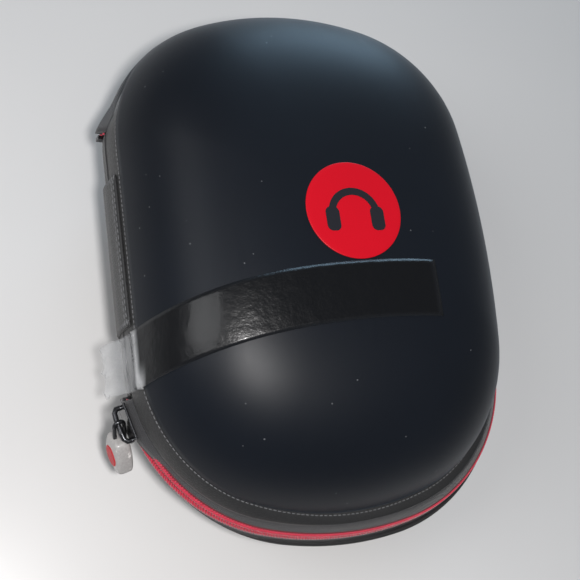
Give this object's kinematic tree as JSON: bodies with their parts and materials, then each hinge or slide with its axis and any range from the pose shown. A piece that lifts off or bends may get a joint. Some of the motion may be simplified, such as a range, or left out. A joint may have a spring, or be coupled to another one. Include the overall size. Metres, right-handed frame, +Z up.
{
  "type": "headphone carrying case",
  "caption": "Hard zip-up carrying case for folded headphones: domed lid on a leather hinge, red zip round the front, padded cradle inside.",
  "frame": {"origin": "centre of the zip outline, on the flat underside of the base", "axes": "+Z up, +Y along the case, -X towards the hinge"},
  "size_m": [0.1565, 0.2092, 0.0928],
  "materials": {
    "shell_black": "soft-touch matte",
    "gusset_leather": "fine-grained, satin",
    "zip_tape": "woven",
    "zip_chain_red": "coil teeth with a stitched chevron",
    "lining": "brushed tricot",
    "binding": "ribbed tape",
    "mesh": "open net",
    "emblem_red": "satin gloss",
    "emblem_black": "satin",
    "clear_film": "clear and glossy",
    "black_metal": "black nickel",
    "tab_grey": "moulded, semi-gloss"
  },
  "bodies": {
    "base": {"base_shell": "shell_black", "base_gusset": "gusset_leather", "base_zip_tape": "zip_tape", "base_zip_chain": "zip_chain_red", "base_edge_piping": "gusset_leather", "base_seam_binding": "binding", "base_lining": "lining", "headphone_cradle": "lining", "hinge_wall_base": "gusset_leather", "hinge_patch_base": "gusset_leather", "zip_end_stops": "black_metal"},
    "lid": {"lid_shell": "shell_black", "lid_gusset": "gusset_leather", "lid_zip_tape": "zip_tape", "lid_zip_chain": "zip_chain_red", "lid_seam_binding": "binding", "lid_lining": "lining", "mesh_pocket": "mesh", "pocket_elastic": "binding", "lid_emblem": "emblem_red", "emblem_mark": "emblem_black", "seal_film": "clear_film", "seal_film_tail": "clear_film", "hinge_wall_lid": "gusset_leather", "hinge_patch_lid": "gusset_leather"},
    "zip_slider": {"slider_body": "black_metal", "slider_bridge": "black_metal"},
    "zip_pull": {"pull_loop": "black_metal", "pull_tab": "tab_grey", "pull_badge": "emblem_red"}
  },
  "joints": [
    {"name": "lid_hinge", "type": "hinge", "parent": "base", "child": "lid", "pos_m": [-0.0841, 0, 0.042], "axis": [0, -1, 0], "range_deg": [0, 165]},
    {"name": "slider_travel", "type": "hinge", "parent": "base", "child": "zip_slider", "pos_m": [-0.0146, -0.04073, 0.042], "axis": [0, 0, 1], "range_deg": [0, 50]},
    {"name": "pull_swing", "type": "hinge", "parent": "zip_slider", "child": "zip_pull", "pos_m": [-0.07772, -0.05823, 0.042], "axis": [-0.2672, 0.9636, 0], "range_deg": [0, 150]}
  ]
}
